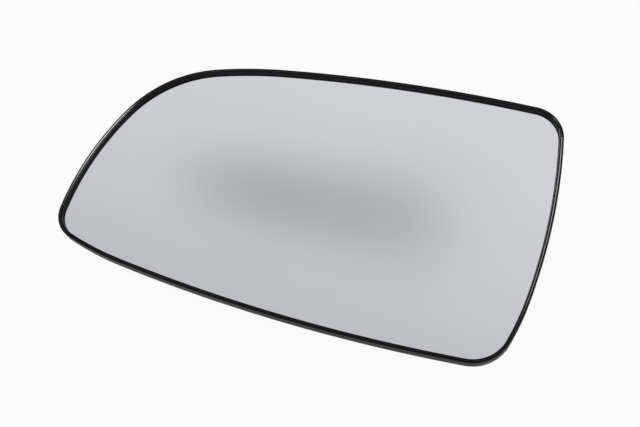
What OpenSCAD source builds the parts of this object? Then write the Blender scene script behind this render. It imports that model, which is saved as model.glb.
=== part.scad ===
// A left-hand car door mirror glass: convex glass bonded into a black moulded backing plate.
// +Z leaves the reflecting face, +X points inboard, +Y points up on the car.
// The origin is on the snap socket's axis, level with the tips of its fingers.

/* [Outline] */
// Length of the plate, outboard end to inboard end
length = 184.6; // [176:0.1:196]
// Height of the plate, bottom edge to top inboard corner
height = 108.4; // [104:0.1:118]
// Inboard edge: height of its outermost point above the axis
inboard_y = 2.2; // [-2:0.1:8]
// Inboard edge: radius of its bow
inboard_bow = 239; // [200:1:320]
// Top edge: drop from the plate's highest point to the edge above the axis
top_fall = 6.6; // [4:0.1:9]
// Top edge: slope above the axis, in degrees, rising inboard
top_slope = 7.4; // [5:0.1:9]
// Top edge: radius of its bow
top_bow = 890; // [650:10:1200]
// Outboard edge: drop of its outermost point below the axis
outboard_drop = 36.3; // [32:0.1:40]
// Outboard edge: radius of its bow
outboard_bow = 110; // [100:1:130]
// Bottom edge: distance inboard of its lowest point
bottom_x = 13.9; // [8:0.1:20]
// Bottom edge: radius of its bow
bottom_bow = 609; // [500:1:750]

/* [Corners] */
// Radius of the top inboard corner
top_in_corner = 12.4; // [9:0.1:18]
// Radius of the bottom inboard corner
bottom_in_corner = 16; // [12:0.1:22]
// Radius of the bottom outboard corner
bottom_out_corner = 10.9; // [8:0.1:16]
// Radius of the outboard shoulder, the large sweep into the top edge
shoulder = 49.6; // [44:0.1:56]
// Radius of the arc that eases the top edge into the shoulder
shoulder_ease = 191; // [150:1:250]
// Direction in which that arc begins, seen from its centre, in degrees from +X
shoulder_ease_at = 99; // [97.5:0.1:100.5]
// Radius of the arc that eases the bottom edge into its outboard corner
bottom_ease = 122; // [80:1:160]
// Direction in which that arc begins, in degrees below the line to -X
bottom_ease_at = 82.8; // [82:0.1:84]
// Radius of the arc that eases the inboard edge into its bottom corner
inboard_ease = 106; // [70:1:140]
// Direction in which that arc begins, in degrees below the line to +X
inboard_ease_at = 5.8; // [4:0.1:7]

/* [Glass] */
// Thickness of the glass
glass_t = 2; // [1.6:0.1:3]
// Radius of curvature of the reflecting face
glass_curve = 1200; // [1000:10:1400]

/* [Adhesive pad] */
// Thickness of the foam pad once pressed
pad_t = 0.8; // [0.5:0.1:1.2]
// Distance from the glass's edge to the pad's edge
pad_margin = 4; // [2:0.5:8]
// Distance from the floor's windows to the pad's opening
pad_clear = 1.8; // [1:0.1:4]

/* [Backing plate] */
// Thickness of the plate's floor
floor_t = 2; // [1.6:0.1:2.6]
// Thickness of the wall around the glass
wall_t = 1.2; // [1.1:0.05:1.6]
// Gap between the glass's edge and the wall
glass_gap = 0.1; // [0.05:0.05:0.3]
// Width by which the lip covers the glass's edge
lip_cover = 0.3; // [0.2:0.05:0.6]
// Gap between the lip and the glass
lip_gap = 0.05; // [0.02:0.01:0.1]
// Height of the rim's crest above the glass
rim_rise = 2; // [1.6:0.1:2.6]
// Radius of the crest's outer edge
crest_outer_r = 0.5; // [0.3:0.05:0.6]
// Width of the crest, the rim's higher, outer part
crest_w = 0.75; // [0.65:0.05:0.9]
// Width of the slope from the crest down to the inner ledge
step_w = 0.3; // [0.2:0.05:0.4]
// Drop from the crest to the ledge
step_drop = 0.3; // [0.2:0.05:0.6]
// Radius of the ledge's inner edge
ledge_r = 0.3; // [0.15:0.05:0.4]
// Radius of the outer edge under the wall
under_r = 2.6; // [1.6:0.1:2.8]
// Width of the bead under the wall
bead_w = 3.6; // [3.4:0.1:5]
// Drop of the bead below the floor
bead_drop = 0.8; // [0.7:0.1:1.5]
// Draft of the bead's inner face
draft = 0.15; // [0.05:0.05:0.25]

/* [Snap socket] */
// Diameter of the throat between the hooks
throat_d = 56.4; // [54:0.1:58]
// Length of the hooks' straight land
land = 1.2; // [0.8:0.1:1.6]
// Height of the land above the fingers' tips
land_z = 1.8; // [1.6:0.1:2.2]
// Height of the lead-in below the land
lead_in = 1.5; // [1:0.1:1.5]
// Height of the slope behind the land
hook_back = 1; // [0.6:0.1:1.4]
// Reach of each hook inside the collar
hook_reach = 1; // [0.6:0.1:1.4]
// Width of each hook
hook_w = 10; // [8:0.5:11]
// Margin of the windows around the hooks, as seen along the axis
window_margin = 0.6; // [0.3:0.1:0.8]
// Thickness of the spring fingers
finger_t = 1.8; // [1.4:0.1:2.2]
// Chamfer of the fingers' outer tips
tip_chamfer = 0.5; // [0.2:0.1:0.8]
// Height of the floor above the fingers' tips, at the axis
collar_h = 9; // [8:0.1:12]
// Number of spring fingers
fingers = 8; // [6:1:8]
// Width of the slots between the fingers
slot_w = 3.5; // [2.5:0.1:4.5]
// Height of the unslotted collar under the floor
slot_root = 1.6; // [1.2:0.1:2.5]
// Gap between the fingers and the guard ring
guard_gap = 3.5; // [2.5:0.1:4]
// Thickness of the guard ring
guard_t = 1.5; // [1.2:0.1:2]
// Height of the guard ring below the floor, at the axis
guard_h = 6.5; // [5:0.1:7]
// Diameter of the sunk mark at the moulding gate
gate_d = 6; // [4:0.5:10]
// Depth of the mark at the moulding gate
gate_depth = 0.5; // [0.2:0.1:0.8]

/* [Ribs] */
// Number of radial ribs
ribs = 12; // [8:1:16]
// Thickness of each rib
rib_t = 1.2; // [1:0.1:1.6]
// Step from the guard ring's edge to the ribs
rib_step = 0.5; // [0.3:0.1:0.8]
// Height of the ribs where they meet the bead
rib_end = 0.6; // [0.3:0.1:0.6]

/* [Hidden] */
glass_color = [0.80, 0.81, 0.83];
pad_color = [0.16, 0.16, 0.17];
plate_color = [0.05, 0.05, 0.055];
// Largest distance between the outline's true arcs and the flats that stand for them
flatness = 0.02;
// Distance by which a cutting shape runs past what it cuts
past = 5;
// Depth by which one shape runs into its neighbour
bite = 0.4;

// Heights on the socket's axis, from the fingers' tips upward
floor_back_z = collar_h;
floor_front_z = floor_back_z + floor_t;
pad_front_z = floor_front_z + pad_t;
crown_z = pad_front_z + glass_t;
// Every face of the glass, the pad and the floor is a sphere about this one point
curve_z = crown_z - glass_curve;
// The rings on the back are rooted here, within the floor
root_z = floor_back_z + floor_t / 4;

// Heights over the glass, for what follows its curve
floor_back_h = -(glass_t + pad_t + floor_t);
floor_mid_h = floor_back_h + floor_t / 2;
foot_h = floor_back_h - bead_drop;
ledge_h = rim_rise - step_drop;

// Insets from the outline
glass_inset = wall_t + glass_gap;
lip_inset = glass_inset + lip_cover;
pad_inset = glass_inset + pad_margin;
// Inset of the rounding under the wall, level with the floor's back, and the floor's edge beyond it
under_side = under_r - bead_drop;
under_inset = under_r - sqrt(under_r * under_r - under_side * under_side);
floor_inset = (under_inset + wall_t) / 2;

// Radii of the snap socket
throat_r = throat_d / 2;
collar_in = throat_r + hook_reach;
collar_out = collar_in + finger_t;
guard_in = collar_out + guard_gap;
guard_out = guard_in + guard_t;

// The four edges are arcs, given as centre and radius
function toward(angle) = [cos(angle), sin(angle)];
inboard_edge = [[length / 2 - inboard_bow, inboard_y], inboard_bow];
top_edge = [[0, height / 2 - top_fall] - top_bow * toward(90 + top_slope), top_bow];
outboard_edge = [[outboard_bow - length / 2, -outboard_drop], outboard_bow];
bottom_edge = [[bottom_x, bottom_bow - height / 2], bottom_bow];

// Arc of a smaller radius that leaves an edge in a given direction
function ease(edge, r, angle) = [edge[0] + (edge[1] - r) * toward(angle), r];

// Arc that runs inside two others and touches both
function corner(a, b, r) =
    let (
        ra = a[1] - r,
        rb = b[1] - r,
        line = b[0] - a[0],
        gap = norm(line),
        along = (ra * ra - rb * rb + gap * gap) / (2 * gap),
        aside = sqrt(ra * ra - along * along)
    )
    [a[0] + (line * along + [-line[1], line[0]] * aside) / gap, r];

shoulder_lead = ease(top_edge, shoulder_ease, shoulder_ease_at);
bottom_lead = ease(bottom_edge, bottom_ease, bottom_ease_at - 180);
inboard_lead = ease(inboard_edge, inboard_ease, -inboard_ease_at);

// The outline, counter-clockwise from the inboard edge, each arc tangent to the next
arcs = [
    inboard_edge,
    corner(inboard_edge, top_edge, top_in_corner),
    top_edge,
    shoulder_lead,
    corner(shoulder_lead, outboard_edge, shoulder),
    outboard_edge,
    corner(outboard_edge, bottom_lead, bottom_out_corner),
    bottom_lead,
    bottom_edge,
    corner(bottom_edge, inboard_lead, bottom_in_corner),
    inboard_lead
];

// Direction of the point where two touching arcs meet
function heading(v) = atan2(v[1], v[0]);
function meeting(a, b) = a[1] > b[1] ? heading(b[0] - a[0]) : heading(a[0] - b[0]);
function turn(angle) = angle - 360 * floor(angle / 360);

// Stations along the outline: centre, radius and direction of each point
stations = [
    for (k = [0 : len(arcs) - 1])
        let (
            arc = arcs[k],
            before = arcs[(k + len(arcs) - 1) % len(arcs)],
            after = arcs[(k + 1) % len(arcs)],
            start = meeting(before, arc),
            sweep = turn(meeting(arc, after) - start),
            steps = ceil(sweep / (2 * acos(1 - flatness / arc[1])))
        )
        for (i = [0 : steps - 1]) [arc[0], arc[1], start + sweep * i / steps]
];

// The point of a station, moved inward by an inset
function at(s, inset) = s[0] + (s[1] - inset) * toward(s[2]);
function outline(inset) = [for (s = stations) at(s, inset)];

// Height of the reflecting face over a point of the plan
function face_z(p) = curve_z + sqrt(glass_curve * glass_curve - p * p);

// Distance from the axis to the inset outline, in a direction
function cross_z(a, b) = a[0] * b[1] - a[1] * b[0];
function reach(angle, inset) =
    let (ray = toward(angle), rim = outline(inset), n = len(rim))
    [
        for (i = [0 : n - 1])
            let (p = rim[i], q = rim[(i + 1) % n])
            if (cross_z(ray, p) < 0 && cross_z(ray, q) >= 0 && p * ray > 0)
                cross_z(p, q - p) / cross_z(ray, q - p)
    ][0];

// Section of the rim and its bead, as inset and height over the glass, from the foot up the outer face
function rounding(c, r, from, to, steps) =
    [for (i = [0 : steps]) c + r * toward(from + (to - from) * i / steps)];

rim_section = concat(
    [[bead_w, foot_h]],
    rounding([under_r, foot_h + under_r], under_r, 270, 180, 4),
    rounding([crest_outer_r, rim_rise - crest_outer_r], crest_outer_r, 180, 90, 3),
    [[crest_w, rim_rise], [crest_w + step_w, ledge_h]],
    rounding([lip_inset - ledge_r, ledge_h - ledge_r], ledge_r, 90, 0, 2),
    [[lip_inset, lip_gap], [wall_t, lip_gap], [wall_t, floor_mid_h], [bead_w + draft, floor_mid_h]]
);

// Rim, wall and bead in one, swept around the outline and following the glass's curve
module rim_wall() {
    n = len(stations);
    m = len(rim_section);
    points = [
        for (s = stations, c = rim_section)
            let (p = at(s, c[0])) [p[0], p[1], face_z(p) + c[1]]
    ];
    faces = [
        for (i = [0 : n - 1], j = [0 : m - 1])
            let (a = i * m, b = ((i + 1) % n) * m, k = (j + 1) % m)
            each [[a + j, b + k, b + j], [a + j, a + k, b + k]]
    ];
    polyhedron(points, faces, convexity = 4);
}

// Ball about the shared centre, with its poles turned away from the plate
module ball(top_z) {
    translate([0, 0, curve_z])
        rotate([90, 0, 0])
            sphere(r = top_z - curve_z, $fn = 256);
}

// Sheet inside an inset of the outline, between two heights on the axis
module sheet(inset, back_z, front_z) {
    difference() {
        intersection() {
            linear_extrude(front_z + past)
                polygon(outline(inset));
            ball(front_z);
        }
        ball(back_z);
    }
}

// Ring around the axis, from a height up into the floor
module ring(inner, outer, from_z) {
    difference() {
        translate([0, 0, from_z])
            cylinder(r = outer, h = root_z - from_z, $fn = 180);
        translate([0, 0, from_z - past])
            cylinder(r = inner, h = root_z - from_z + 2 * past, $fn = 180);
    }
}

// Bars that point outward from the axis, evenly spread, for cuts and hooks
module bars(first, inner, outer, width, from_z, to_z) {
    for (i = [0 : fingers - 1])
        rotate([0, 0, first + i * 360 / fingers])
            translate([inner, -width / 2, from_z])
                cube([outer - inner, width, to_z - from_z]);
}

// Collar with its slots, which leave a row of spring fingers
module collar() {
    difference() {
        rotate_extrude($fn = 180)
            polygon([
                [collar_in, 0],
                [collar_out - tip_chamfer, 0],
                [collar_out, tip_chamfer],
                [collar_out, root_z],
                [collar_in, root_z]
            ]);
        bars(180 / fingers, throat_r, collar_out + past / 5, slot_w, -past, floor_back_z - slot_root);
    }
}

// Hooks around the throat: a lead-in, a straight land, and a slope behind it
module hooks() {
    intersection() {
        rotate_extrude($fn = 180)
            polygon([
                [throat_r, land_z],
                [collar_in + bite, land_z - lead_in],
                [collar_in + bite, land_z + land + hook_back],
                [throat_r, land_z + land]
            ]);
        bars(0, throat_r - past, collar_out, hook_w, 0, floor_back_z);
    }
}

// Windows through the floor over the hooks, which let the mould form their backs
module windows() {
    from_z = floor_back_z - slot_root;
    intersection() {
        difference() {
            translate([0, 0, from_z])
                cylinder(r = collar_in, h = crown_z, $fn = 180);
            translate([0, 0, from_z - past])
                cylinder(r = throat_r - window_margin, h = crown_z + 2 * past, $fn = 180);
        }
        bars(0, throat_r - past, collar_out, hook_w + 2 * window_margin, 0, crown_z + past);
    }
}

// Rib from the guard ring to the bead, shallower toward the bead
module rib(angle) {
    near = guard_in + guard_t / 2;
    far = reach(angle, under_r);
    rotate([0, 0, angle])
        translate([0, rib_t / 2, 0])
            rotate([90, 0, 0])
                linear_extrude(rib_t)
                    polygon([
                        [near, floor_back_z - guard_h + rib_step],
                        [far, face_z([far, 0]) + floor_back_h - rib_end],
                        [far, face_z([far, 0]) + floor_mid_h],
                        [near, face_z([near, 0]) + floor_mid_h]
                    ]);
}

// Convex silvered glass
module mirror_glass() {
    color(glass_color)
        sheet(glass_inset, pad_front_z, crown_z);
}

// Die-cut foam tape between the glass and the plate, open over the socket
module adhesive_pad() {
    color(pad_color)
        difference() {
            sheet(pad_inset, floor_front_z, pad_front_z);
            cylinder(r = collar_in + pad_clear, h = crown_z + past, $fn = 180);
        }
}

// One moulding: floor, rim, ribs, and the socket that snaps over the actuator's ring
module backing_plate() {
    color(plate_color)
        difference() {
            union() {
                rim_wall();
                sheet(floor_inset, floor_back_z, floor_front_z);
                collar();
                hooks();
                ring(guard_in, guard_out, floor_back_z - guard_h);
                for (i = [0 : ribs - 1])
                    rib((i + 0.5) * 360 / ribs);
            }
            windows();
            translate([0, 0, floor_back_z - past])
                cylinder(d = gate_d, h = past + gate_depth, $fn = 48);
        }
}

mirror_glass();
adhesive_pad();
backing_plate();
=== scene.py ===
import math

import bmesh
import bpy
from bpy.props import FloatProperty, FloatVectorProperty, IntProperty, PointerProperty
from bpy.types import Operator, Panel, PropertyGroup
from mathutils import Matrix, Vector


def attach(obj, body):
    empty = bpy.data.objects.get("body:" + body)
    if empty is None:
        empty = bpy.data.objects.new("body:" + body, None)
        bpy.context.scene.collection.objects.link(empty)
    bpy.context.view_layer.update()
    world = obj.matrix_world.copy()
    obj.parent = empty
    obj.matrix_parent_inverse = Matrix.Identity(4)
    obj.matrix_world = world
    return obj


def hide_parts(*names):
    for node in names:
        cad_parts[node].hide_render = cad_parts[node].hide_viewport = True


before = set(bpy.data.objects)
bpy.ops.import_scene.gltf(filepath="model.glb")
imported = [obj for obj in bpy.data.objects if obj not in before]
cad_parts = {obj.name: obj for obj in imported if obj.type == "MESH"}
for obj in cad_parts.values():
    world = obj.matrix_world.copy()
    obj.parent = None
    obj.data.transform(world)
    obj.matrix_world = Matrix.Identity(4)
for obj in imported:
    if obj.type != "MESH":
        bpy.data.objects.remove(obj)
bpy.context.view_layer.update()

bl_info = {
    "name": "Car Door Mirror Glass",
    "version": (1, 0, 0),
    "blender": (4, 5, 0),
    "location": "View3D > Sidebar > Mirror Glass",
    "description": "Builds a door mirror's silvered glass, foam pad and moulded backing plate",
    "category": "Object",
}

BODY = "root"
WHITE = (1.0, 1.0, 1.0, 1.0)

# How finely the curved forms are divided
STATION_TURN = math.radians(4)
FINGER_STEPS = 16
HOOK_STEPS = 12
RING_STEPS = 144


# Properties

def length_of(name, text, millimetres):
    """A length that the user can change, given here in millimetres."""
    return FloatProperty(
        name=name, description=text, default=millimetres * 0.001, min=0.0, unit="LENGTH", precision=5
    )


def place_of(name, text, millimetres):
    """A position that may be negative, given here in millimetres."""
    return FloatProperty(
        name=name, description=text, default=millimetres * 0.001, unit="LENGTH", precision=5
    )


def angle_of(name, text, degrees):
    """An angle that the user can change, given here in degrees."""
    return FloatProperty(name=name, description=text, default=math.radians(degrees), subtype="ANGLE")


def share_of(name, text, value):
    """A factor between nothing and the whole."""
    return FloatProperty(name=name, description=text, default=value, min=0.0, max=1.0, subtype="FACTOR")


def power_of(name, text, watts):
    """The power of a light."""
    return FloatProperty(name=name, description=text, default=watts, min=0.0, unit="POWER")


def colour_of(name, text, value):
    """A linear colour."""
    return FloatVectorProperty(
        name=name, description=text, default=value, min=0.0, max=1.0, subtype="COLOR"
    )


def point_of(name, text, metres):
    """A point of the studio, given here in metres."""
    return FloatVectorProperty(name=name, description=text, default=metres, unit="LENGTH", precision=5)


def panel_of(name, text, metres):
    """The width and height of a light, given here in metres."""
    return FloatVectorProperty(
        name=name, description=text, default=metres, size=2, min=0.0, unit="LENGTH", precision=5
    )


class OutlineSizes(PropertyGroup):
    length: length_of("Length", "Outboard end to inboard end", 184.6)
    height: length_of("Height", "Bottom edge to top inboard corner", 108.4)
    inboard_y: place_of("Inboard Height", "Outermost point of the inboard edge above the axis", 2.2)
    inboard_bow: length_of("Inboard Bow", "Radius of the inboard edge", 239)
    top_fall: length_of("Top Fall", "Drop from the highest point to the edge above the axis", 6.6)
    top_slope: angle_of("Top Slope", "Slope of the top edge above the axis, rising inboard", 7.4)
    top_bow: length_of("Top Bow", "Radius of the top edge", 890)
    outboard_drop: length_of("Outboard Drop", "Outermost point of the outboard edge below the axis", 36.3)
    outboard_bow: length_of("Outboard Bow", "Radius of the outboard edge", 110)
    bottom_x: place_of("Bottom Offset", "Distance inboard of the lowest point", 13.9)
    bottom_bow: length_of("Bottom Bow", "Radius of the bottom edge", 609)
    top_in_corner: length_of("Top Inboard Corner", "Radius of that corner", 12.4)
    bottom_in_corner: length_of("Bottom Inboard Corner", "Radius of that corner", 16)
    bottom_out_corner: length_of("Bottom Outboard Corner", "Radius of that corner", 10.9)
    shoulder: length_of("Shoulder", "Radius of the large sweep into the top edge", 49.6)
    shoulder_ease: length_of("Shoulder Ease", "Radius that eases the top edge into the shoulder", 191)
    shoulder_ease_at: angle_of("Shoulder Ease Start", "Direction in which that arc begins", 99)
    bottom_ease: length_of("Bottom Ease", "Radius that eases the bottom edge into its corner", 122)
    bottom_ease_at: angle_of("Bottom Ease Start", "Direction in which that arc begins", 82.8)
    inboard_ease: length_of("Inboard Ease", "Radius that eases the inboard edge into its corner", 106)
    inboard_ease_at: angle_of("Inboard Ease Start", "Direction in which that arc begins", 5.8)
    step: length_of("Station Step", "Longest distance between two points of the outline", 1.3)


class LayerSizes(PropertyGroup):
    crown_z: length_of("Crown Height", "Front of the glass on the axis, above the fingers' tips", 13.8)
    curve: length_of("Curvature", "Radius of the reflecting face", 1200)
    glass_t: length_of("Glass Thickness", "Thickness of the glass", 2)
    glass_inset: length_of("Glass Inset", "Distance from the plate's outline to the glass's edge", 1.3)
    arris: length_of("Arris", "Width of the ground edge's chamfers", 0.15)
    pad_t: length_of("Pad Thickness", "Thickness of the foam pad once pressed", 0.8)
    pad_inset: length_of("Pad Inset", "Distance from the plate's outline to the pad's edge", 5.3)
    pad_opening: length_of("Pad Opening", "Radius of the pad's opening over the socket", 31)


class RimSizes(PropertyGroup):
    floor_t: length_of("Floor Thickness", "Thickness of the plate's floor", 2)
    floor_inset: length_of("Floor Inset", "Distance from the outline to the floor's hidden edge", 0.96)
    wall_t: length_of("Wall Thickness", "Thickness of the wall around the glass", 1.2)
    lip_inset: length_of("Lip Inset", "Distance from the outline to the lip's inner edge", 1.6)
    lip_gap: length_of("Lip Gap", "Gap between the lip and the glass", 0.05)
    rise: length_of("Rim Rise", "Height of the rim's crest above the glass", 2)
    crest_outer: length_of("Outer Crest Radius", "Radius of the crest's outer edge", 0.5)
    crest_w: length_of("Crest Width", "Width of the rim's higher, outer part", 0.75)
    step_w: length_of("Step Width", "Width of the slope inside the crest", 0.3)
    step_drop: length_of("Step Drop", "Drop from the crest to the inner ledge", 0.3)
    step_edge: length_of("Step Edge", "Radius of the slope's edges", 0.12)
    ledge_edge: length_of("Ledge Edge", "Radius of the ledge's inner edge", 0.3)
    under: length_of("Under Radius", "Radius of the outer edge under the wall", 2.6)
    bead_w: length_of("Bead Width", "Width of the bead under the wall", 3.6)
    bead_drop: length_of("Bead Drop", "Drop of the bead below the floor", 0.8)
    draft: length_of("Draft", "Lean of the bead's inner face", 0.15)
    foot_edge: length_of("Foot Edge", "Radius of the bead's inner edge", 0.4)
    lip_edge: length_of("Lip Edge", "Radius of the lip's lower edge", 0.08)


class SocketSizes(PropertyGroup):
    throat_r: length_of("Throat Radius", "Radius of the throat between the hooks", 28.2)
    land: length_of("Land", "Length of the hooks' straight land", 1.2)
    land_z: length_of("Land Height", "Height of the land above the fingers' tips", 1.8)
    lead_in: length_of("Lead In", "Height of the lead-in below the land", 1.5)
    hook_back: length_of("Hook Back", "Height of the slope behind the land", 1)
    hook_w: length_of("Hook Width", "Width of each hook", 10)
    hook_root: length_of("Hook Root", "How far the hooks reach into the fingers", 0.4)
    hook_edge: length_of("Hook Edge", "Radius of the hooks' small edges", 0.12)
    window_margin: length_of("Window Margin", "Margin of the windows around the hooks", 0.6)
    window_gap: length_of("Window Gap", "Gap between the windows and the collar's inner wall", 0.03)
    collar_in: length_of("Collar Radius", "Inner radius of the collar", 29.2)
    finger_t: length_of("Finger Thickness", "Thickness of the spring fingers", 1.8)
    tip_chamfer: length_of("Tip Chamfer", "Chamfer of the fingers' outer tips", 0.5)
    collar_h: length_of("Collar Height", "Height of the floor above the fingers' tips", 9)
    fingers: IntProperty(name="Fingers", description="Number of spring fingers", default=8, min=2)
    slot_w: length_of("Slot Width", "Width of the slots between the fingers", 3.5)
    slot_root: length_of("Slot Root", "Height of the unslotted collar under the floor", 1.6)
    guard_in: length_of("Guard Radius", "Inner radius of the guard ring", 34.5)
    guard_t: length_of("Guard Thickness", "Thickness of the guard ring", 1.5)
    guard_h: length_of("Guard Height", "Height of the guard ring below the floor", 6.5)
    guard_edge: length_of("Guard Edge", "Radius of the guard ring's free edges", 0.3)
    gate_r: length_of("Gate Mark Radius", "Radius of the sunk mark at the moulding gate", 3)
    gate_depth: length_of("Gate Mark Depth", "Depth of that mark", 0.5)
    ribs: IntProperty(name="Ribs", description="Number of radial ribs", default=12, min=3)
    rib_t: length_of("Rib Thickness", "Thickness of each rib", 1.2)
    rib_step: length_of("Rib Step", "Step from the guard ring's edge to the ribs", 0.5)
    rib_end: length_of("Rib End", "Height of the ribs where they meet the bead", 0.6)
    edge: length_of("Moulded Edge", "Radius of the small edges of the fingers and ribs", 0.2)


class Finishes(PropertyGroup):
    silver: colour_of("Silver", "Reflectance of the silvered glass", (0.838, 0.851, 0.891))
    silver_roughness: share_of("Silver Roughness", "Roughness of the reflecting face", 0.015)
    back_paint: colour_of("Back Paint", "Paint over the silver", (0.045, 0.047, 0.05))
    ground_glass: colour_of("Ground Edge", "Ground edge of the glass", (0.33, 0.42, 0.39))
    plastic: colour_of("Plastic", "Moulded black plastic, on its show side", (0.0012, 0.0012, 0.0014))
    # Painted light: a lighter copy of the same black plastic, for the faces that look down, so the shaded
    # underside shows lighter than its light makes it.
    plastic_back: colour_of(
        "Plastic Back", "The same plastic on its hidden back, dull from the tool", (0.025, 0.025, 0.026)
    )
    plastic_roughness: share_of("Plastic Roughness", "Roughness of the textured flats and walls", 0.35)
    plastic_gloss: share_of("Plastic Gloss", "Specular level of the textured flats and walls", 0.06)
    back_gloss: share_of("Back Gloss", "What the hidden back's specular level has above that", 0.3)
    edge_roughness: share_of("Edge Roughness", "Roughness of the rim's polished roundings", 0.15)
    edge_gloss: share_of("Edge Gloss", "Specular level of the rim's polished roundings", 0.6)
    foam: colour_of("Foam", "Foam tape", (0.028, 0.028, 0.03))


class StudioSettings(PropertyGroup):
    azimuth: angle_of("Camera Azimuth", "Turn of the camera about the axis", 30.16)
    elevation: angle_of("Camera Elevation", "Height of the camera above the plate", 68)
    roll: angle_of("Camera Roll", "Roll of the camera", 14)
    distance: length_of("Camera Distance", "Distance from the camera to its target", 400)
    target: point_of("Camera Target", "Point the camera looks at", (0.00759, -0.01087, 0.0138))
    lens: FloatProperty(name="Lens", description="Focal length", default=59.5, unit="CAMERA")
    floor: colour_of("Floor", "Pale floor", (0.7, 0.7, 0.7))
    floor_glow: share_of("Floor Whiteness", "Share of plain white in what the camera sees", 0.92)
    floor_mirrored: share_of("Floor Mirrored", "How much of that whiteness reflections also see", 0.3)
    surroundings: FloatProperty(
        name="Surroundings", description="Strength of the light from all around", default=1.0, min=0.0
    )
    horizon: share_of("Horizon", "How bright the surroundings are low down, against overhead", 0.45)
    front: share_of("Front", "How bright the surroundings are in front, against behind", 0.8)
    key_power: power_of("Key Power", "Power of the light from the right", 8.0)
    key_place: point_of("Key Place", "Middle of that light", (0.78, -0.12, 0.6))
    key_size: panel_of("Key Size", "Width and height of that light", (0.45, 0.36))
    fill_power: power_of("Fill Power", "Power of the light from the front left", 2.2)
    fill_place: point_of("Fill Place", "Middle of that light", (-0.6, -0.35, 0.7))
    fill_size: panel_of("Fill Size", "Width and height of that light", (0.4, 0.4))
    low_power: power_of("Low Power", "Power of the low narrow light from the left", 13.0)
    low_place: point_of("Low Place", "Middle of that light", (-0.98, 0.138, 0.148))
    low_size: panel_of("Low Size", "Width and height of that light", (0.6, 0.22))
    fade: share_of("Fade", "Share of each light's width over which its edge fades", 0.3)


# Geometry of the outline

def toward(angle):
    """Unit vector in the plan."""
    return Vector((math.cos(angle), math.sin(angle)))


def cross(a, b):
    """Height of the cross product of two plan vectors."""
    return a.x * b.y - a.y * b.x


def eased(edge, radius, angle):
    """Arc of a smaller radius that leaves an edge in a given direction."""
    centre, bow = edge
    return centre + (bow - radius) * toward(angle), radius


def rounded_corner(a, b, radius):
    """Arc that runs inside two others and touches both."""
    ra = a[1] - radius
    rb = b[1] - radius
    line = b[0] - a[0]
    gap = line.length
    along = (ra * ra - rb * rb + gap * gap) / (2 * gap)
    aside = math.sqrt(ra * ra - along * along)
    return a[0] + (line * along + Vector((-line.y, line.x)) * aside) / gap, radius


def outline_arcs(o):
    """The arcs of the plate's outline, counter-clockwise from the inboard edge."""
    half_turn = math.pi
    inboard = (Vector((o.length / 2 - o.inboard_bow, o.inboard_y)), o.inboard_bow)
    top_point = Vector((0, o.height / 2 - o.top_fall))
    top = (top_point - o.top_bow * toward(half_turn / 2 + o.top_slope), o.top_bow)
    outboard = (Vector((o.outboard_bow - o.length / 2, -o.outboard_drop)), o.outboard_bow)
    bottom = (Vector((o.bottom_x, o.bottom_bow - o.height / 2)), o.bottom_bow)
    shoulder_lead = eased(top, o.shoulder_ease, o.shoulder_ease_at)
    bottom_lead = eased(bottom, o.bottom_ease, o.bottom_ease_at - half_turn)
    inboard_lead = eased(inboard, o.inboard_ease, -o.inboard_ease_at)
    return [
        inboard,
        rounded_corner(inboard, top, o.top_in_corner),
        top,
        shoulder_lead,
        rounded_corner(shoulder_lead, outboard, o.shoulder),
        outboard,
        rounded_corner(outboard, bottom_lead, o.bottom_out_corner),
        bottom_lead,
        bottom,
        rounded_corner(bottom, inboard_lead, o.bottom_in_corner),
        inboard_lead,
    ]


def meeting(a, b):
    """Direction of the point where two touching arcs meet."""
    line = b[0] - a[0] if a[1] > b[1] else a[0] - b[0]
    return math.atan2(line.y, line.x)


def outline_stations(o):
    """Centre, radius and direction of each point along the outline."""
    arcs = outline_arcs(o)
    found = []
    for k, arc in enumerate(arcs):
        start = meeting(arcs[k - 1], arc)
        sweep = (meeting(arc, arcs[(k + 1) % len(arcs)]) - start) % (2 * math.pi)
        steps = max(math.ceil(sweep * arc[1] / o.step), math.ceil(sweep / STATION_TURN))
        found += [(arc[0], arc[1], start + sweep * i / steps) for i in range(steps)]
    return found


def at(station, inset):
    """The point of a station, moved inward by an inset."""
    centre, radius, angle = station
    return centre + (radius - inset) * toward(angle)


def face_z(layers, point):
    """Height of the reflecting face over a point of the plan."""
    return layers.crown_z - layers.curve + math.sqrt(layers.curve ** 2 - point.length_squared)


def reach(stations, angle, inset):
    """Distance from the axis to the inset outline, in a direction."""
    ray = toward(angle)
    rim = [at(s, inset) for s in stations]
    for p, q in zip(rim, rim[1:] + rim[:1]):
        if cross(ray, p) < 0 <= cross(ray, q) and p.dot(ray) > 0:
            return cross(p, q - p) / cross(ray, q - p)
    raise ValueError("the outline doesn't surround the axis")


def rounding(x, y, radius, start, end, steps):
    """Points of a small arc in a section, with its directions in degrees."""
    turns = [math.radians(start + (end - start) * i / steps) for i in range(steps + 1)]
    return [(x + radius * math.cos(t), y + radius * math.sin(t)) for t in turns]


# Meshes

def new_piece(name, shape, material=None):
    """An object in the scene made from a bmesh."""
    bmesh.ops.recalc_face_normals(shape, faces=shape.faces)
    mesh = bpy.data.meshes.new(name)
    shape.to_mesh(mesh)
    shape.free()
    piece = bpy.data.objects.new(name, mesh)
    bpy.context.scene.collection.objects.link(piece)
    if material:
        mesh.materials.append(material)
    return piece


def loft(shape, rows, closed_rows=True):
    """Faces between rows of points, each a closed loop; returns the rows of vertices."""
    grid = [[shape.verts.new(p) for p in row] for row in rows]
    pairs = list(zip(grid, grid[1:])) + ([(grid[-1], grid[0])] if closed_rows else [])
    for a, b in pairs:
        for j in range(len(a)):
            k = (j + 1) % len(a)
            shape.faces.new((a[j], a[k], b[k], b[j]))
    return grid


def swept_around(shape, stations, section, layers):
    """A closed section, as inset and height over the glass, swept around the outline."""
    rows = []
    for s in stations:
        row = []
        for inset, height in section:
            p = at(s, inset)
            row.append((p.x, p.y, face_z(layers, p) + height))
        rows.append(row)
    return loft(shape, rows)


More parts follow.
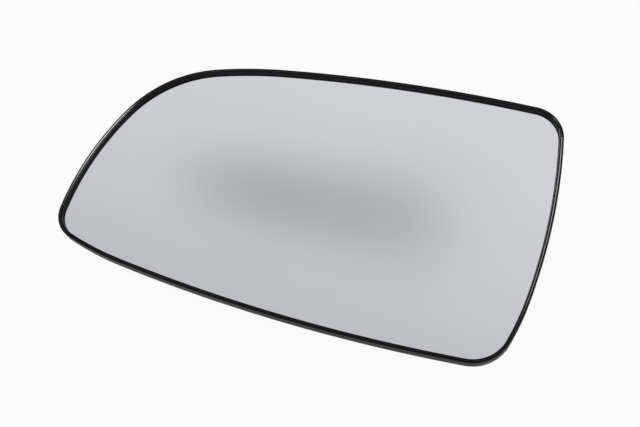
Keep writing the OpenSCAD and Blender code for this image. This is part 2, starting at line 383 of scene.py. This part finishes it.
def blocks_at_fingers(k, profile, half_width):
    """A closed profile of radius and height, turned past each finger's middle at an even width."""
    shape = bmesh.new()
    for i in range(k.fingers):
        middle = 2 * math.pi * i / k.fingers
        rows = []
        for j in range(HOOK_STEPS + 1):
            row = []
            for r, z in profile:
                side = math.asin(half_width / r)
                start, end = middle - side, middle + side
                p = toward(start + (end - start) * j / HOOK_STEPS) * r
                row.append((p.x, p.y, z))
            rows.append(row)
        grid = loft(shape, rows, closed_rows=False)
        shape.faces.new(grid[0])
        shape.faces.new(reversed(grid[-1]))
    return shape


def full_ring(shape, profile):
    """A closed profile of radius and height, turned all the way around the axis."""
    rows = []
    for i in range(RING_STEPS):
        d = toward(2 * math.pi * i / RING_STEPS)
        rows.append([(d.x * r, d.y * r, z) for r, z in profile])
    loft(shape, rows)


def keep_modifiers(piece):
    """Turns a piece's modifiers into its mesh."""
    graph = bpy.context.evaluated_depsgraph_get()
    finished = bpy.data.meshes.new_from_object(piece.evaluated_get(graph))
    before = piece.data
    piece.modifiers.clear()
    piece.data = finished
    bpy.data.meshes.remove(before)


def soften_edges(piece, width):
    """Small rounded edges, as a mould leaves them."""
    bevel = piece.modifiers.new("moulded_edges", "BEVEL")
    bevel.width = width
    bevel.segments = 2
    bevel.limit_method = "ANGLE"
    bevel.angle_limit = math.radians(32)
    bevel.miter_outer = "MITER_ARC"
    keep_modifiers(piece)


def combine(piece, other, operation):
    """Joins another closed shape to a piece, or cuts it away."""
    joint = piece.modifiers.new("combine", "BOOLEAN")
    joint.operation = operation
    joint.solver = "MANIFOLD"
    joint.object = other
    keep_modifiers(piece)
    mesh = other.data
    bpy.data.objects.remove(other)
    bpy.data.meshes.remove(mesh)


def smooth_shading(piece, angle=32, weighted=True):
    """Smooth faces, with crisp edges where they turn by more than an angle in degrees."""
    piece.data.shade_smooth()
    piece.data.set_sharp_from_angle(angle=math.radians(angle))
    if weighted:
        normals = piece.modifiers.new("weighted_normals", "WEIGHTED_NORMAL")
        normals.keep_sharp = True
        normals.mode = "FACE_AREA_WITH_ANGLE"


def disc_rows(stations, inset, rings):
    """Rings of plan points from near the centre out to an inset of the outline."""
    centre = 0.04
    edge = [at(s, inset) for s in stations]
    shares = [centre + (1 - centre) * i / (rings - 1) for i in range(rings)]
    return [[p * share for p in edge] for share in shares]


def lifted(layers, row, height):
    """A ring of plan points set at a height over the glass's curve."""
    return [(p.x, p.y, face_z(layers, p) + height) for p in row]


# Materials

def shade(colour, factor):
    """A colour made lighter or darker by a factor."""
    return tuple(min(1.0, c * factor) for c in colour)


class Nodes:
    """Adds and links the nodes of one material, light or world."""

    def __init__(self, tree):
        self.tree = tree
        self.tree.nodes.clear()

    def add(self, kind, values=(), **settings):
        """A node with its settings, whose inputs are linked to other nodes or set to values."""
        node = self.tree.nodes.new(kind)
        for name, value in settings.items():
            setattr(node, name, value)
        for socket, value in dict(values).items():
            if isinstance(value, bpy.types.NodeSocket):
                self.tree.links.new(value, node.inputs[socket])
            else:
                node.inputs[socket].default_value = value
        return node

    def place(self):
        """The position on the object, in its own axes."""
        return self.add("ShaderNodeTexCoord").outputs["Object"]

    def parts(self, vector):
        """The three parts of a vector."""
        return self.add("ShaderNodeSeparateXYZ", {0: vector}).outputs

    def math(self, operation, a, b=0.0, clamp=False):
        """One step of arithmetic."""
        return self.add("ShaderNodeMath", {0: a, 1: b}, operation=operation, use_clamp=clamp).outputs[0]

    def plus(self, a, b):
        """Their sum."""
        return self.math("ADD", a, b)

    def minus(self, a, b):
        """Their difference."""
        return self.math("SUBTRACT", a, b)

    def times(self, a, b):
        """Their product."""
        return self.math("MULTIPLY", a, b)

    def noise(self, place, scale, detail=2.0, roughness=0.5):
        """Soft noise between 0 and 1."""
        values = {"Vector": place, "Scale": scale, "Detail": detail, "Roughness": roughness}
        return self.add("ShaderNodeTexNoise", values).outputs[0]

    def span(self, value, from_low, from_high, to_low, to_high):
        """A value carried from one range to another, and held at the ends."""
        ends = {"From Min": from_low, "From Max": from_high, "To Min": to_low, "To Max": to_high}
        return self.add("ShaderNodeMapRange", {"Value": value, **ends}).outputs[0]

    def mottled(self, noise, colour, dark, light):
        """A colour that a noise makes a little darker in one place and lighter in another."""
        node = self.add("ShaderNodeValToRGB", {0: noise})
        for element, position, factor in zip(node.color_ramp.elements, (0.3, 0.7), (dark, light)):
            element.position = position
            element.color = (*shade(colour, factor), 1.0)
        return node.outputs[0]

    def bump(self, height, distance, strength=1.0):
        """A relief of a given height in metres."""
        values = {"Height": height, "Distance": distance, "Strength": strength}
        return self.add("ShaderNodeBump", values).outputs[0]


def new_material(name):
    """A material with an empty node tree."""
    material = bpy.data.materials.new(name)
    material.use_nodes = True
    return material, Nodes(material.node_tree)


def finish_material(nodes, colour, roughness, metallic=0.0, normal=None, **constants):
    """The surface shader and the output of a material."""
    values = {"Base Color": colour, "Roughness": roughness, "Metallic": metallic}
    if normal:
        values["Normal"] = normal
    values.update(constants)
    surface = nodes.add("ShaderNodeBsdfPrincipled", values)
    nodes.add("ShaderNodeOutputMaterial", {"Surface": surface.outputs[0]})


def silvered_face(f):
    """Silver behind clear glass, with the faintest unevenness of the coating."""
    material, n = new_material("silvered_face")
    place = n.place()
    haze = n.noise(place, scale=38.0, detail=3.0)
    specks = n.noise(place, scale=900.0, roughness=0.6)
    colour = n.mottled(haze, f.silver, 0.992, 1.004)
    roughness = n.span(specks, 0.35, 0.8, f.silver_roughness, f.silver_roughness * 1.8)
    finish_material(n, colour, roughness, metallic=1.0)
    return material


def ground_edge(f):
    """Ground and seamed edge of the glass."""
    material, n = new_material("ground_edge")
    grit = n.noise(n.place(), scale=5200.0, detail=3.0, roughness=0.7)
    colour = n.mottled(grit, f.ground_glass, 0.8, 1.15)
    roughness = n.span(grit, 0.3, 0.7, 0.45, 0.7)
    finish_material(n, colour, roughness, normal=n.bump(grit, 0.00003))
    return material


def back_paint(f):
    """Sprayed paint that protects the silver."""
    material, n = new_material("back_paint")
    place = n.place()
    drift = n.noise(place, scale=60.0, detail=3.0)
    peel = n.noise(place, scale=1500.0)
    colour = n.mottled(drift, f.back_paint, 0.85, 1.15)
    roughness = n.span(peel, 0.3, 0.7, 0.4, 0.55)
    finish_material(n, colour, roughness, normal=n.bump(peel, 0.00004))
    return material


def moulded_plastic(f):
    """Black injection-moulded plastic: textured flats, polished roundings, flow clouds, and an underside
    with more gloss and a lighter colour that is painted light on its shade.
    """
    material, n = new_material("black_moulded_plastic")
    coordinates = n.add("ShaderNodeTexCoord").outputs
    place = coordinates["Object"]
    facing = n.parts(coordinates["Normal"])[2]

    # Polished where the surface leans from the axis by 37 to 47 degrees, fading out by 26 and 57.
    polish = n.times(n.span(facing, 0.55, 0.68, 0.0, 1.0), n.span(facing, 0.8, 0.9, 1.0, 0.0))
    # The hidden back is what faces down, and fades out toward the walls. There the colour is painted
    # lighter, as painted light on the shaded underside, and the specular level is raised.
    back = n.span(facing, -0.65, -0.45, 1.0, 0.0)

    grain = n.noise(place, scale=4200.0, roughness=0.55)
    clouds = n.noise(place, scale=45.0, detail=3.0, roughness=0.6)
    # The lighter colour of the underside is painted light on its shade; the plastic itself is the same
    # all over.
    shown, hidden = (n.mottled(clouds, c, 0.85, 1.2) for c in (f.plastic, f.plastic_back))
    colour = n.add("ShaderNodeMix", {0: back, 6: shown, 7: hidden}, data_type="RGBA").outputs[2]
    uneven = n.plus(n.times(grain, 0.6), n.times(clouds, 0.4))
    finish = n.span(polish, 0.0, 1.0, f.plastic_roughness, f.edge_roughness)
    roughness = n.plus(finish, n.span(uneven, 0.3, 0.7, -0.05, 0.07))
    shine = n.span(polish, 0.0, 1.0, f.plastic_gloss, f.edge_gloss)
    gloss = n.plus(shine, n.times(back, f.back_gloss))
    relief = n.bump(grain, 0.000006, strength=0.5)
    finish_material(n, colour, roughness, normal=relief, **{"Specular IOR Level": gloss})
    return material


def foam_tape(f):
    """Closed-cell foam with its cells cut open."""
    material, n = new_material("foam_tape")
    place = n.place()
    cells = n.add(
        "ShaderNodeTexVoronoi", {"Vector": place, "Scale": 3500.0}, feature="SMOOTH_F1"
    ).outputs["Distance"]
    clouds = n.noise(place, scale=70.0, detail=3.0)
    colour = n.mottled(clouds, f.foam, 0.8, 1.3)
    roughness = n.span(cells, 0.0, 0.7, 0.95, 0.75)
    finish_material(n, colour, roughness, normal=n.bump(cells, 0.0001))
    return material


# Studio

def studio_floor(s):
    """White surface; the camera sees it mostly as plain white, with the object's shadow."""
    material, n = new_material("studio_floor")
    paper = n.noise(n.place(), scale=240.0, detail=3.0)
    colour = n.mottled(paper, s.floor, 0.995, 1.005)
    matt = n.add("ShaderNodeBsdfDiffuse", {"Color": colour}).outputs[0]
    white = n.add("ShaderNodeEmission", {"Color": WHITE, "Strength": 1.0}).outputs[0]
    path = n.add("ShaderNodeLightPath").outputs
    mirrored = n.times(path["Is Glossy Ray"], s.floor_mirrored)
    seen = n.math("ADD", path["Is Camera Ray"], mirrored, clamp=True)
    mixed = n.add("ShaderNodeMixShader", {0: n.times(seen, s.floor_glow), 1: matt, 2: white}).outputs[0]
    n.add("ShaderNodeOutputMaterial", {"Surface": mixed})
    return material


def room_tone(n, x, y):
    """Tone of the room by its direction: lighter away from the middle line, y = 0, and to the right."""
    # base + rise * across - bend * across ** 2 + lean * x, where across is y without its sign. The crease
    # keeps that smooth on the middle line, and across stops growing where the curve is at its top.
    base, rise, bend, lean = 0.4253, 0.758, 0.6415, 0.0215
    crease, held_from = 0.0016, 0.59
    aside = n.math("SQRT", n.plus(n.times(y, y), crease))
    across = n.math("MINIMUM", aside, held_from)
    slope = n.times(across, n.minus(rise, n.times(across, bend)))
    return n.plus(n.plus(slope, base), n.times(x, lean))


def dark_shape(n, x, y, z):
    """How much darker the room is inside one long soft shape overhead, which widens to the right."""
    middle_x, middle_y, turn = -0.179, 0.3236, 0.0979
    half_length, half_width, widening = 0.2041, 0.0696, 0.8987
    depth = 0.1712
    x, y = n.minus(x, middle_x), n.minus(y, middle_y)
    # u runs along the shape and v across it.
    u = n.plus(n.times(x, math.cos(turn)), n.times(y, math.sin(turn)))
    v = n.minus(n.times(y, math.cos(turn)), n.times(x, math.sin(turn)))
    taper = n.times(n.plus(n.times(u, widening), 1.0), half_width)
    u_part = n.math("POWER", n.math("ABSOLUTE", n.math("DIVIDE", u, half_length)), 4.0)
    v_part = n.math("POWER", n.math("ABSOLUTE", n.math("DIVIDE", v, taper)), 2.0)
    shape = n.math("EXPONENT", n.times(n.plus(u_part, v_part), -1.0))
    overhead = n.math("GREATER_THAN", z, 0.0)
    return n.times(n.times(shape, depth), overhead)


def studio_surroundings(s):
    """Pale room, lighter above the top edge, with one long soft dark shape that the glass reflects."""
    world = bpy.data.worlds.new("studio_surroundings")
    world.use_nodes = True
    n = Nodes(world.node_tree)
    x, y, z = n.parts(n.add("ShaderNodeTexCoord").outputs["Generated"])

    # Dimmer toward the horizon, and dimmer in front, except high up where the picture's reflection lies.
    low = n.span(z, 0.1, 0.78, s.horizon, 1.0)
    in_front = n.times(n.span(y, -0.3, 0.12, 1.0, 0.0), n.span(z, 0.76, 0.88, 1.0, 0.0))
    front = n.span(in_front, 0.0, 1.0, 1.0, s.front)
    # The tones are those seen in the glass, so the room has to be brighter by what the glass loses.
    glass_reflects = 0.86
    level = n.times(n.times(low, front), s.surroundings / glass_reflects)
    strength = n.times(n.minus(room_tone(n, x, y), dark_shape(n, x, y, z)), level)
    room = n.add("ShaderNodeBackground", {"Color": WHITE, "Strength": strength}).outputs[0]
    plain = n.add("ShaderNodeBackground", {"Color": WHITE, "Strength": 1.0}).outputs[0]
    seen = n.add("ShaderNodeLightPath").outputs["Is Camera Ray"]
    mixed = n.add("ShaderNodeMixShader", {0: seen, 1: room, 2: plain}).outputs[0]
    n.add("ShaderNodeOutputWorld", {"Surface": mixed})
    return world


def add_light(name, power, place, size, fade):
    """A soft rectangular light, aimed at the object, that fades toward its edges as a softbox does."""
    data = bpy.data.lights.new(name, "AREA")
    data.shape = "RECTANGLE"
    data.size, data.size_y = size
    data.energy = power
    data.use_nodes = True
    n = Nodes(data.node_tree)
    spot = n.parts(n.add("ShaderNodeNewGeometry").outputs["Parametric"])
    across, along = (n.span(n.math("PINGPONG", spot[i], 0.5), 0.0, fade, 0.0, 1.0) for i in (0, 1))
    glow = n.add("ShaderNodeEmission", {"Color": WHITE, "Strength": n.times(across, along)})
    n.add("ShaderNodeOutputLight", {"Surface": glow.outputs[0]})
    lamp = bpy.data.objects.new(name, data)
    lamp.location = place
    lamp.rotation_euler = (-Vector(place)).to_track_quat("-Z", "Y").to_euler()
    bpy.context.scene.collection.objects.link(lamp)


def add_camera(s):
    """A camera that looks at its target from an azimuth and an elevation, and is then rolled."""
    a, e, r = s.azimuth, s.elevation, s.roll
    back = Vector((math.sin(a) * math.cos(e), -math.cos(a) * math.cos(e), math.sin(e)))
    right = Vector((math.cos(a), math.sin(a), 0))
    up = back.cross(right)
    side = right * math.cos(r) - up * math.sin(r)
    head = right * math.sin(r) + up * math.cos(r)
    place = Vector(s.target) + back * s.distance
    data = bpy.data.cameras.new("photo_view")
    data.sensor_width = 36
    data.lens = s.lens
    data.clip_start = 0.01
    camera = bpy.data.objects.new("photo_view", data)
    bpy.context.scene.collection.objects.link(camera)
    turn = Matrix((side, head, back)).transposed()
    camera.matrix_world = Matrix.Translation(place) @ turn.to_4x4()
    return camera


# Parts of the backing plate

def floor_depth(rim, layers):
    """How far the back of the plate's floor lies behind the reflecting face."""
    return layers.glass_t + layers.pad_t + rim.floor_t


def inside_floor(k, rim):
    """Height at which the collar and the guard ring end inside the floor."""
    return k.collar_h + rim.floor_t / 4


def rim_section(rim, layers):
    """Section of the rim and its bead, from inside the bead, under it and up to the lip."""
    floor_back = -floor_depth(rim, layers)
    floor_mid = floor_back + rim.floor_t / 2
    foot = floor_back - rim.bead_drop
    edge, under = rim.foot_edge, rim.under
    outer, inner, low, soft = rim.crest_outer, rim.ledge_edge, rim.lip_edge, rim.step_edge
    ledge = rim.rise - rim.step_drop
    lean = math.degrees(math.atan2(rim.step_drop, rim.step_w))
    ease = soft * math.tan(math.radians(lean / 2))
    return (
        [(rim.bead_w + rim.draft, floor_mid)]
        + rounding(rim.bead_w - edge, foot + edge, edge, 0, -90, 4)
        + rounding(under, foot + under, under, 270, 180, 10)
        + rounding(outer, rim.rise - outer, outer, 180, 90, 7)
        + rounding(rim.crest_w - ease, rim.rise - soft, soft, 90, 90 - lean, 3)
        + rounding(rim.crest_w + rim.step_w + ease, ledge + soft, soft, 270 - lean, 270, 3)
        + rounding(rim.lip_inset - inner, ledge - inner, inner, 90, 0, 7)
        + rounding(rim.lip_inset - low, rim.lip_gap + low, low, 0, -90, 2)
        + [(rim.wall_t, rim.lip_gap), (rim.wall_t, floor_mid)]
    )


def plate_floor(stations, rim, layers):
    """The plate's domed floor as a closed sheet."""
    back = -floor_depth(rim, layers)
    shape = bmesh.new()
    rows = disc_rows(stations, rim.floor_inset, rings=20)
    lower = [lifted(layers, row, back) for row in rows]
    upper = [lifted(layers, row, back + rim.floor_t) for row in reversed(rows)]
    grid = loft(shape, lower + upper, closed_rows=False)
    shape.faces.new(grid[0])
    shape.faces.new(grid[-1])
    return new_piece("floor_shape", shape)


def plate_rim(stations, rim, layers):
    """Wall, lip and bead around the glass."""
    shape = bmesh.new()
    swept_around(shape, stations, rim_section(rim, layers), layers)
    return new_piece("rim_shape", shape)


def plate_collar(k, rim):
    """Collar with its slots, which leave a row of spring fingers."""
    outer = k.collar_in + k.finger_t
    root = inside_floor(k, rim)
    cut = k.collar_h - k.slot_root
    turn = 2 * math.pi / k.fingers
    shape = bmesh.new()

    def columns(radius, z):
        """Vertices around one level: a finger's columns, then the next finger's, and so on."""
        side = math.asin(k.slot_w / 2 / radius)
        found = []
        for i in range(k.fingers):
            first = (i - 0.5) * turn + side
            last = (i + 0.5) * turn - side
            for j in range(FINGER_STEPS + 1):
                p = toward(first + (last - first) * j / FINGER_STEPS) * radius
                found.append(shape.verts.new((p.x, p.y, z)))
        return found

    tip_in = columns(k.collar_in, 0.0)
    tip_out = columns(outer - k.tip_chamfer, 0.0)
    side_low = columns(outer, k.tip_chamfer)
    cut_out = columns(outer, cut)
    cut_in = columns(k.collar_in, cut)
    top_out = columns(outer, root)
    top_in = columns(k.collar_in, root)
    count = len(tip_in)
    for j in range(count):
        n = (j + 1) % count
        gap = (j + 1) % (FINGER_STEPS + 1) == 0
        if gap:
            shape.faces.new((cut_in[j], cut_out[j], cut_out[n], cut_in[n]))
            shape.faces.new((tip_in[j], tip_out[j], side_low[j], cut_out[j], cut_in[j]))
            shape.faces.new((tip_in[n], tip_out[n], side_low[n], cut_out[n], cut_in[n]))
        else:
            for a, b in ((tip_in, tip_out), (tip_out, side_low), (side_low, cut_out), (cut_in, tip_in)):
                shape.faces.new((a[j], a[n], b[n], b[j]))
        for a, b in ((cut_out, top_out), (top_out, top_in), (top_in, cut_in)):
            shape.faces.new((a[j], a[n], b[n], b[j]))
    piece = new_piece("collar_shape", shape)
    soften_edges(piece, k.edge)
    return piece


def plate_hooks(k):
    """Hooks inside the fingers: a lead-in, a straight land and a slope behind it."""
    root = k.collar_in + k.hook_root
    profile = [
        (k.throat_r, k.land_z),
        (root, k.land_z - k.lead_in),
        (root, k.land_z + k.land + k.hook_back),
        (k.throat_r, k.land_z + k.land),
    ]
    piece = new_piece("hook_shape", blocks_at_fingers(k, profile, k.hook_w / 2))
    soften_edges(piece, k.hook_edge)
    return piece


def plate_guard(k, rim):
    """Guard ring around the fingers."""
    outer = k.guard_in + k.guard_t
    low = k.collar_h - k.guard_h
    root = inside_floor(k, rim)
    r = k.guard_edge
    profile = (
        rounding(k.guard_in + r, low + r, r, 180, 270, 4)
        + rounding(outer - r, low + r, r, 270, 360, 4)
        + [(outer, root), (k.guard_in, root)]
    )
    shape = bmesh.new()
    full_ring(shape, profile)
    return new_piece("guard_shape", shape)


def plate_ribs(stations, k, rim, layers):
    """Ribs from the guard ring out to the bead."""
    back = -floor_depth(rim, layers)
    near = k.guard_in + k.guard_t / 2
    shape = bmesh.new()
    for i in range(k.ribs):
        angle = (i + 0.5) * 2 * math.pi / k.ribs
        far = reach(stations, angle, rim.under)
        along = toward(angle)
        aside = Vector((-along.y, along.x)) * k.rib_t / 2
        section = [
            (near, k.collar_h - k.guard_h + k.rib_step),
            (far, face_z(layers, along * far) + back - k.rib_end),
            (far, face_z(layers, along * far) + back + rim.floor_t / 2),
            (near, face_z(layers, along * near) + back + rim.floor_t / 2),
        ]
        sides = []
        for side in (-1, 1):
            corners = []
            for r, z in section:
                p = along * r + aside * side
                corners.append(shape.verts.new((p.x, p.y, z)))
            sides.append(corners)
        shape.faces.new(sides[0])
        shape.faces.new(reversed(sides[1]))
        for j in range(4):
            n = (j + 1) % 4
            shape.faces.new((sides[0][j], sides[1][j], sides[1][n], sides[0][n]))
    piece = new_piece("rib_shape", shape)
    soften_edges(piece, k.edge)
    return piece


def window_cuts(k, layers):
    """Openings through the floor over the hooks, where the mould forms their backs."""
    inner = k.throat_r - k.window_margin
    outer = k.collar_in - k.window_gap
    low, high = k.collar_h - k.slot_root / 2, layers.crown_z
    profile = [(inner, low), (outer, low), (outer, high), (inner, high)]
    return new_piece("window_shape", blocks_at_fingers(k, profile, k.hook_w / 2 + k.window_margin))


def gate_cut(k):
    """Shallow round recess at the moulding gate."""
    top = k.collar_h + k.gate_depth
    height = k.gate_depth * 4
    shape = bmesh.new()
    bmesh.ops.create_cone(
        shape, cap_ends=True, segments=64, radius1=k.gate_r, radius2=k.gate_r, depth=height,
        matrix=Matrix.Translation((0, 0, top - height / 2)),
    )
    return new_piece("gate_shape", shape)


# Operators

class MIRROR_OT_glass(Operator):
    """Build the convex silvered glass, with its ground edge and painted back"""

    bl_idname = "mirror.glass"
    bl_label = "Silvered Glass"

    def execute(self, context):
        scene = context.scene
        layers, f = scene.mirror_layers, scene.mirror_finishes
        stations = outline_stations(scene.mirror_outline)
        inset, arris, thick = layers.glass_inset, layers.arris, layers.glass_t
        rows = disc_rows(stations, inset + arris, rings=40)
        edge = [at(s, inset) for s in stations]
        front = [lifted(layers, row, 0.0) for row in rows]
        side = [lifted(layers, edge, -arris), lifted(layers, edge, arris - thick)]
        back = [lifted(layers, row, -thick) for row in reversed(rows)]
        shape = bmesh.new()
        grid = loft(shape, front + side + back, closed_rows=False)
        shape.faces.new(grid[0])
        shape.faces.new(grid[-1])
        glass = new_piece("silvered_glass", shape, silvered_face(f))
        glass.data.materials.append(ground_edge(f))
        glass.data.materials.append(back_paint(f))
        silvered, ground, painted = range(3)
        facing_out = 0.9
        for face in glass.data.polygons:
            if face.normal.z > facing_out:
                face.material_index = silvered
            elif face.normal.z < -facing_out:
                face.material_index = painted
            else:
                face.material_index = ground
        smooth_shading(glass, angle=25, weighted=False)
        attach(glass, BODY)
        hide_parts("mirror_glass")
        return {"FINISHED"}


class MIRROR_OT_pad(Operator):
    """Build the die-cut foam pad between the glass and the plate"""

    bl_idname = "mirror.pad"
    bl_label = "Foam Pad"

    def execute(self, context):
        scene = context.scene
        layers = scene.mirror_layers
        stations = outline_stations(scene.mirror_outline)
        edge = [at(s, layers.pad_inset) for s in stations]
        hole = [p.normalized() * layers.pad_opening for p in edge]
        rings = 12
        rows = [[a.lerp(b, i / rings) for a, b in zip(hole, edge)] for i in range(rings + 1)]
        front = [lifted(layers, row, -layers.glass_t) for row in rows]
        back = [lifted(layers, row, -layers.glass_t - layers.pad_t) for row in reversed(rows)]
        shape = bmesh.new()
        loft(shape, front + back)
        pad = new_piece("foam_pad", shape, foam_tape(scene.mirror_finishes))
        smooth_shading(pad)
        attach(pad, BODY)
        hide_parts("adhesive_pad")
        return {"FINISHED"}


class MIRROR_OT_plate(Operator):
    """Build the backing plate: floor, rim, snap socket and ribs in one moulding"""

    bl_idname = "mirror.plate"
    bl_label = "Backing Plate"

    def execute(self, context):
        scene = context.scene
        layers, rim, k = scene.mirror_layers, scene.mirror_rim, scene.mirror_socket
        stations = outline_stations(scene.mirror_outline)
        plate = plate_floor(stations, rim, layers)
        combine(plate, plate_rim(stations, rim, layers), "UNION")
        combine(plate, plate_collar(k, rim), "UNION")
        combine(plate, plate_hooks(k), "UNION")
        combine(plate, plate_guard(k, rim), "UNION")
        combine(plate, plate_ribs(stations, k, rim, layers), "UNION")
        combine(plate, window_cuts(k, layers), "DIFFERENCE")
        combine(plate, gate_cut(k), "DIFFERENCE")
        plate.name = "moulded_plate"
        plate.data.name = "moulded_plate"
        plate.data.materials.clear()
        plate.data.materials.append(moulded_plastic(scene.mirror_finishes))
        smooth_shading(plate)
        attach(plate, BODY)
        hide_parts("backing_plate")
        return {"FINISHED"}


class MIRROR_OT_stage(Operator):
    """Set up the floor, the surroundings, the lights and the camera"""

    bl_idname = "mirror.stage"
    bl_label = "Studio"

    def execute(self, context):
        scene = context.scene
        s = scene.mirror_studio
        shape = bmesh.new()
        bmesh.ops.create_grid(shape, x_segments=8, y_segments=8, size=3.0)
        floor = new_piece("studio_floor", shape, studio_floor(s))
        if floor.data.polygons[0].normal.z < 0:
            floor.data.flip_normals()
        scene.world = studio_surroundings(s)
        add_light("key_light", s.key_power, s.key_place, s.key_size, s.fade)
        add_light("fill_light", s.fill_power, s.fill_place, s.fill_size, s.fade)
        add_light("low_light", s.low_power, s.low_place, s.low_size, s.fade)
        scene.camera = add_camera(s)
        scene.view_settings.view_transform = "Standard"
        return {"FINISHED"}


class MIRROR_PT_sidebar(Panel):
    """The mirror glass's pieces, in the order they are built"""

    bl_idname = "MIRROR_PT_sidebar"
    bl_label = "Mirror Glass"
    bl_space_type = "VIEW_3D"
    bl_region_type = "UI"
    bl_category = "Mirror Glass"

    def draw(self, context):
        """Lists the operators, then the values of each group."""
        for operator in OPERATORS:
            self.layout.operator(operator.bl_idname)
        for attribute, group in GROUPS.items():
            column = self.layout.column(heading=group.__name__)
            for name in group.__annotations__:
                column.prop(getattr(context.scene, attribute), name)


OPERATORS = (MIRROR_OT_glass, MIRROR_OT_pad, MIRROR_OT_plate, MIRROR_OT_stage)
GROUPS = {
    "mirror_outline": OutlineSizes,
    "mirror_layers": LayerSizes,
    "mirror_rim": RimSizes,
    "mirror_socket": SocketSizes,
    "mirror_finishes": Finishes,
    "mirror_studio": StudioSettings,
}


def register():
    """Adds the classes to Blender and the values to its scenes."""
    for group in GROUPS.values():
        bpy.utils.register_class(group)
    for operator in OPERATORS:
        bpy.utils.register_class(operator)
    bpy.utils.register_class(MIRROR_PT_sidebar)
    for attribute, group in GROUPS.items():
        setattr(bpy.types.Scene, attribute, PointerProperty(type=group))


def unregister():
    """Takes the values and the classes out again."""
    for attribute in GROUPS:
        delattr(bpy.types.Scene, attribute)
    bpy.utils.unregister_class(MIRROR_PT_sidebar)
    for operator in reversed(OPERATORS):
        bpy.utils.unregister_class(operator)
    for group in reversed(list(GROUPS.values())):
        bpy.utils.unregister_class(group)


def main():
    """Builds the stage and the pieces."""
    register()
    bpy.ops.mirror.stage()
    bpy.ops.mirror.glass()
    bpy.ops.mirror.pad()
    bpy.ops.mirror.plate()


if __name__ == "__main__":
    main()
